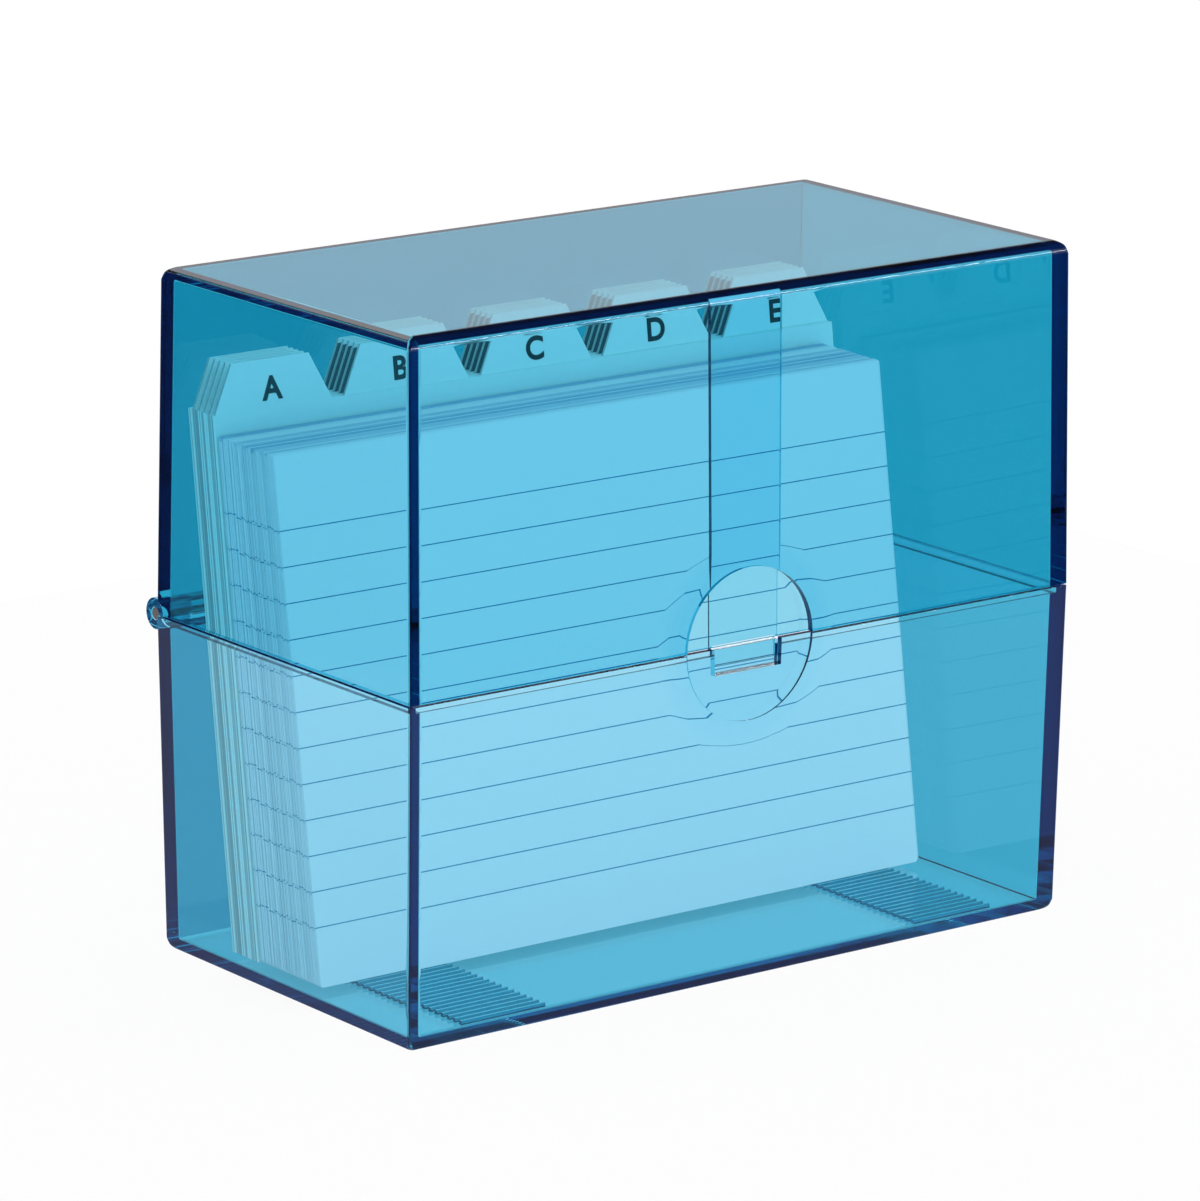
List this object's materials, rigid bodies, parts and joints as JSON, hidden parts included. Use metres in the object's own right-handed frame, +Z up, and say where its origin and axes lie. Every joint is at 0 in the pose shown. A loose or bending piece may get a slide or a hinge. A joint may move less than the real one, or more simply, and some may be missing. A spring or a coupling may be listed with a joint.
{
  "type": "index card box",
  "caption": "Transparent index card box with a drafted tray, a lid on pinned corner hinges, a finger dish latch, ruled cards and a tabbed A to Z divider set.",
  "frame": {"origin": "on the table, under the middle of the bounding box", "axes": "+X along the width, +Y from the front to the hinge, +Z up"},
  "size_m": [0.1624, 0.0914, 0.1398],
  "materials": {
    "shell": "clear blue, polished",
    "pin": "drawn wire",
    "divider": "satin sheet",
    "card": "uncoated card"
  },
  "bodies": {
    "tray": {"base_tray": "shell", "hinge_pin_left": "pin", "hinge_pin_right": "pin"},
    "lid": {"lid": "shell"},
    "cards_1": {"card_packet_01": "card", "card_packet_02": "card", "card_packet_03": "card", "card_packet_04": "card", "card_packet_05": "card"},
    "cards_2": {"card_packet_06": "card", "card_packet_07": "card", "card_packet_08": "card", "card_packet_09": "card", "card_packet_10": "card"},
    "cards_3": {"card_packet_11": "card", "card_packet_12": "card", "card_packet_13": "card", "card_packet_14": "card", "card_packet_15": "card"},
    "cards_4": {"card_packet_16": "card", "card_packet_17": "card", "card_packet_18": "card", "card_packet_19": "card", "card_packet_20": "card"},
    "dividers_1": {"divider_A": "divider", "divider_B": "divider", "divider_C": "divider", "divider_D": "divider", "divider_E": "divider"},
    "dividers_2": {"divider_F": "divider", "divider_G": "divider", "divider_H": "divider", "divider_I": "divider", "divider_J": "divider"},
    "dividers_3": {"divider_K": "divider", "divider_L": "divider", "divider_M": "divider", "divider_N": "divider", "divider_O": "divider"},
    "dividers_4": {"divider_P": "divider", "divider_Q": "divider", "divider_R": "divider", "divider_S": "divider", "divider_T": "divider"},
    "dividers_5": {"divider_U": "divider", "divider_V": "divider", "divider_W": "divider", "divider_XY": "divider", "divider_Z": "divider"}
  },
  "joints": [
    {"name": "lid_hinge", "type": "hinge", "parent": "tray", "child": "lid", "pos_m": [0, 0.0425, 0.06915], "axis": [-1, 0, 0], "range_deg": [0, 165]},
    {"name": "cards_1_tilt", "type": "hinge", "parent": "tray", "child": "cards_1", "pos_m": [0, -0.00906, 0.0037], "axis": [1, 0, 0], "range_deg": [0, 21]},
    {"name": "cards_2_tilt", "type": "hinge", "parent": "tray", "child": "cards_2", "pos_m": [0, -0.00381, 0.0037], "axis": [1, 0, 0], "range_deg": [0, 19.37]},
    {"name": "cards_3_tilt", "type": "hinge", "parent": "tray", "child": "cards_3", "pos_m": [0, 0.00144, 0.0037], "axis": [1, 0, 0], "range_deg": [0, 17.69]},
    {"name": "cards_4_tilt", "type": "hinge", "parent": "tray", "child": "cards_4", "pos_m": [0, 0.00669, 0.0037], "axis": [1, 0, 0], "range_deg": [0, 16.01]},
    {"name": "dividers_1_tilt", "type": "hinge", "parent": "tray", "child": "dividers_1", "pos_m": [0, 0.01224, 0.0037], "axis": [1, 0, 0], "range_deg": [0, 14.33]},
    {"name": "dividers_2_tilt", "type": "hinge", "parent": "tray", "child": "dividers_2", "pos_m": [0, 0.01409, 0.0037], "axis": [1, 0, 0], "range_deg": [0, 12.65]},
    {"name": "dividers_3_tilt", "type": "hinge", "parent": "tray", "child": "dividers_3", "pos_m": [0, 0.01594, 0.0037], "axis": [1, 0, 0], "range_deg": [0, 10.97]},
    {"name": "dividers_4_tilt", "type": "hinge", "parent": "tray", "child": "dividers_4", "pos_m": [0, 0.01779, 0.0037], "axis": [1, 0, 0], "range_deg": [0, 9.29]},
    {"name": "dividers_5_tilt", "type": "hinge", "parent": "tray", "child": "dividers_5", "pos_m": [0, 0.01964, 0.0037], "axis": [1, 0, 0], "range_deg": [0, 7.61]}
  ],
  "couplings": [
    {"joint": "cards_2_tilt", "follows": "cards_1_tilt", "ratio": 0.92},
    {"joint": "cards_3_tilt", "follows": "cards_1_tilt", "ratio": 0.84},
    {"joint": "cards_4_tilt", "follows": "cards_1_tilt", "ratio": 0.76},
    {"joint": "dividers_1_tilt", "follows": "cards_1_tilt", "ratio": 0.68},
    {"joint": "dividers_2_tilt", "follows": "cards_1_tilt", "ratio": 0.6},
    {"joint": "dividers_3_tilt", "follows": "cards_1_tilt", "ratio": 0.52},
    {"joint": "dividers_4_tilt", "follows": "cards_1_tilt", "ratio": 0.44},
    {"joint": "dividers_5_tilt", "follows": "cards_1_tilt", "ratio": 0.36}
  ]
}
